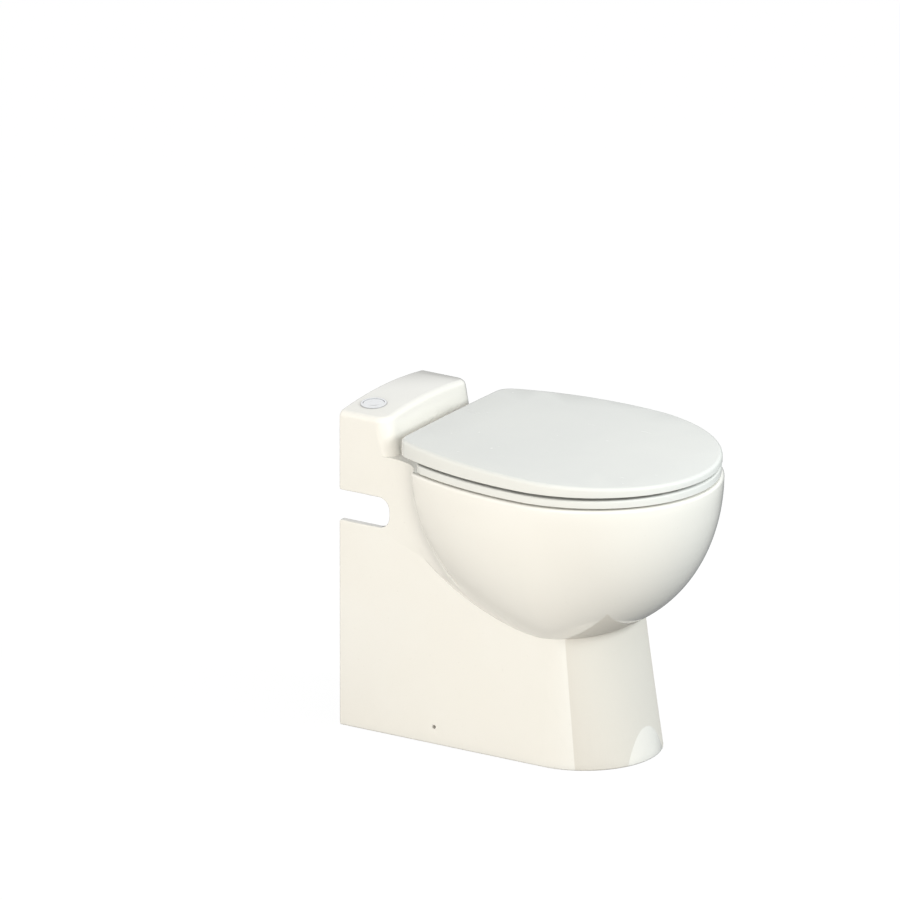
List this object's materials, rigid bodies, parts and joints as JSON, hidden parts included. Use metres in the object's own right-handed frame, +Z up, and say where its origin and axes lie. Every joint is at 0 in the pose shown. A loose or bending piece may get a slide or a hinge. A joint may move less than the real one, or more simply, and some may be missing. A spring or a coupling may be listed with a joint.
{
  "type": "macerating toilet",
  "caption": "One-piece back-to-wall toilet with hinged seat and lid, flush button and a built-in macerating pump behind the bowl.",
  "frame": {"origin": "on the floor, at the middle of the whole object's box", "axes": "+Z up, -Y towards the user at the front of the bowl, +X to the side with the water and discharge pipes"},
  "size_m": [0.37, 0.5439, 0.4768],
  "materials": {
    "china": "glossy glaze",
    "white_plastic": "semi gloss",
    "soft_white": "matte",
    "white_nylon": "satin",
    "grey_plastic": "satin",
    "dark_plastic": "satin",
    "blue_plastic": "satin",
    "chrome": "polished",
    "steel": "brushed",
    "motor_metal": "cast",
    "copper": "wound wire",
    "brass": "turned",
    "rubber": "matte",
    "hose_rubber": "matte",
    "green_board": "lacquered",
    "wire": "matte"
  },
  "bodies": {
    "toilet": {"pan": "china", "hinge_posts": "white_plastic", "hinge_pins": "steel", "hinge_bolts": "steel", "hinge_washers": "rubber", "hinge_wing_nuts": "grey_plastic", "button_bezel": "chrome", "button_nut": "grey_plastic", "button_switch": "dark_plastic", "button_spring": "steel", "tank": "grey_plastic", "tank_feet": "rubber", "tank_gasket": "rubber", "tank_cover": "grey_plastic", "cover_screws": "steel", "vent_filter": "dark_plastic", "motor_can": "motor_metal", "motor_cap": "dark_plastic", "stator": "copper", "motor_bearings": "steel", "shaft_seal": "rubber", "cutter_basket": "steel", "pump_volute": "grey_plastic", "riser_pipe": "grey_plastic", "check_valve_body": "dark_plastic", "check_pin": "steel", "discharge_elbow": "grey_plastic", "discharge_nut": "dark_plastic", "inlet_sleeve": "rubber", "sleeve_bands": "steel", "pressure_bell": "grey_plastic", "membrane": "rubber", "level_switch": "dark_plastic", "water_connector": "brass", "valve_body": "white_nylon", "valve_coil": "blue_plastic", "valve_spring": "steel", "valve_bracket": "steel", "flush_hose": "hose_rubber", "hose_clips": "steel", "rim_nozzle": "white_nylon", "control_box": "dark_plastic", "control_lid": "dark_plastic", "circuit_board": "green_board", "cable_gland": "dark_plastic", "run_capacitor": "motor_metal", "wiring": "wire"},
    "seat": {"seat_ring": "white_plastic", "seat_buffers": "soft_white"},
    "lid": {"lid": "white_plastic", "lid_buffers": "soft_white"},
    "button": {"button_cap": "chrome"},
    "rotor": {"motor_shaft": "steel", "rotor_core": "steel", "cutter_blade": "steel", "pump_impeller": "dark_plastic"},
    "flap": {"check_flap": "rubber"},
    "plunger": {"level_plunger": "grey_plastic"},
    "armature": {"valve_armature": "steel"}
  },
  "joints": [
    {"name": "seat_hinge", "type": "hinge", "parent": "toilet", "child": "seat", "pos_m": [0, 0.14, 0.434], "axis": [1, 0, 0], "range_deg": [-94, 0]},
    {"name": "lid_hinge", "type": "hinge", "parent": "seat", "child": "lid", "pos_m": [0, 0.14, 0.434], "axis": [-1, 0, 0], "range_deg": [0, 95]},
    {"name": "button_press", "type": "slide", "parent": "toilet", "child": "button", "axis": [0.088, 0, -0.9961], "range_m": [0, 0.003], "stiffness_N_per_m": 400, "springref_m": -0.004, "deforming": ["button_spring"]},
    {"name": "rotor_spin", "type": "hinge", "parent": "toilet", "child": "rotor", "pos_m": [0, 0.19, 0.3], "axis": [0, 0, 1], "continuous": true},
    {"name": "check_flap_swing", "type": "hinge", "parent": "toilet", "child": "flap", "pos_m": [0.058, 0.218, 0.2622], "axis": [0, -1, 0], "range_deg": [0, 50]},
    {"name": "level_plunger_lift", "type": "slide", "parent": "toilet", "child": "plunger", "axis": [0, 0, 1], "range_m": [0, 0.002], "stiffness_N_per_m": 100, "springref_m": -0.002},
    {"name": "valve_armature_lift", "type": "slide", "parent": "toilet", "child": "armature", "axis": [0, 0, 1], "range_m": [0, 0.003], "stiffness_N_per_m": 200, "springref_m": -0.004, "deforming": ["valve_spring"]}
  ]
}
